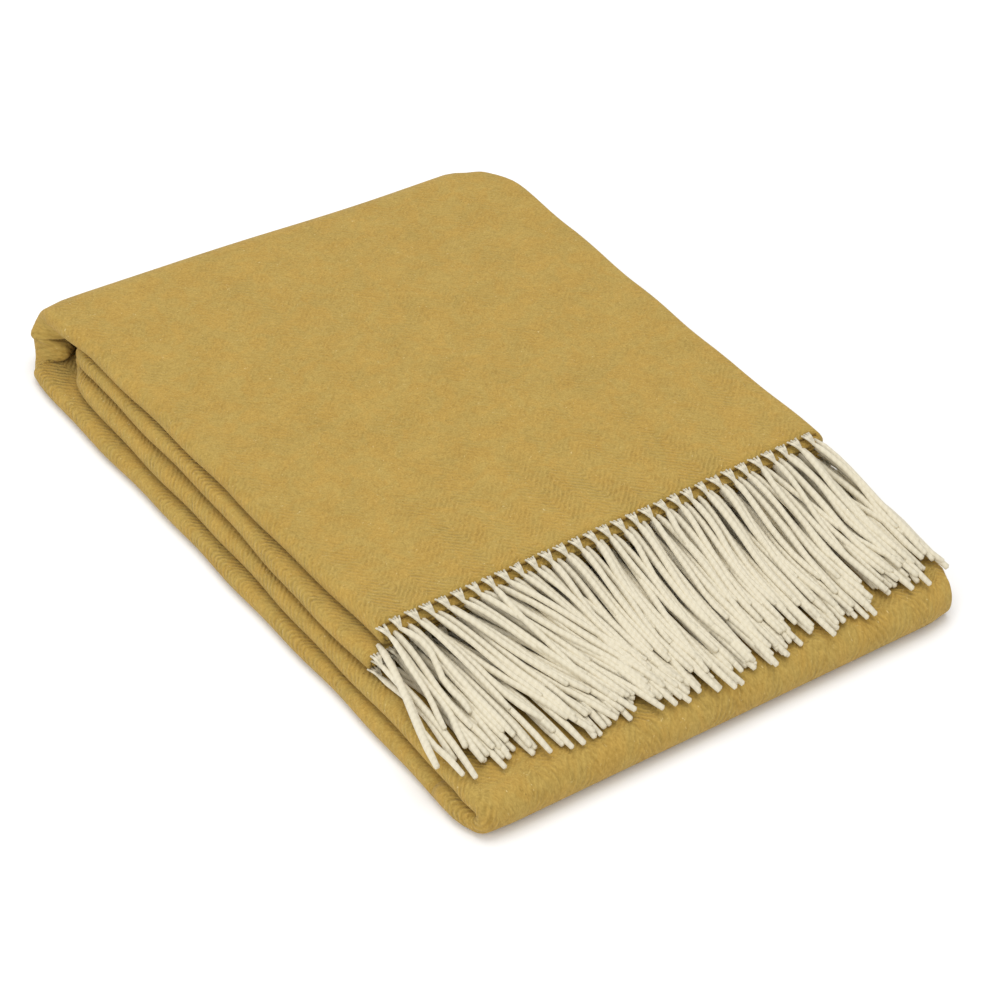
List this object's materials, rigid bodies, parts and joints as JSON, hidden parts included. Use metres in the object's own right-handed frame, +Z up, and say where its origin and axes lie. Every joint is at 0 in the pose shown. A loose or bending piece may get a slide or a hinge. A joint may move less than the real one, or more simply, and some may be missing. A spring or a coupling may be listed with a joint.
{
  "type": "folded throw blanket",
  "caption": "Woven wool throw with twisted cream fringes at both ends, folded into a flat rectangular pack that opens at its back fold",
  "frame": {"origin": "centre of the underside of the folded pack", "axes": "+Z up, +Y from the front fold to the back folds, along the pack's length, +X to the right across its width"},
  "size_m": [0.3276, 0.495, 0.046],
  "materials": {
    "wool_cloth": "golden yellow woven wool, twill with a fishbone pattern, lightly brushed",
    "fringe_yarn": "undyed cream wool yarn, twisted into cords"
  },
  "bodies": {
    "lower_half": {"bottom_run": "wool_cloth", "front_fold": "wool_cloth", "second_run": "wool_cloth", "inner_back_fold": "wool_cloth", "outer_back_fold": "wool_cloth"},
    "upper_half": {"third_run": "wool_cloth", "top_run": "wool_cloth", "third_fringe_1": "fringe_yarn", "third_fringe_2": "fringe_yarn", "third_fringe_3": "fringe_yarn", "third_fringe_4": "fringe_yarn", "top_fringe_1": "fringe_yarn", "top_fringe_2": "fringe_yarn", "top_fringe_3": "fringe_yarn", "top_fringe_4": "fringe_yarn"}
  },
  "joints": [
    {"name": "back_fold", "type": "hinge", "parent": "lower_half", "child": "upper_half", "pos_m": [0, 0.2045, 0.023], "axis": [-1, 0, 0], "range_deg": [0, 180], "deforming": ["inner_back_fold", "outer_back_fold"]}
  ]
}
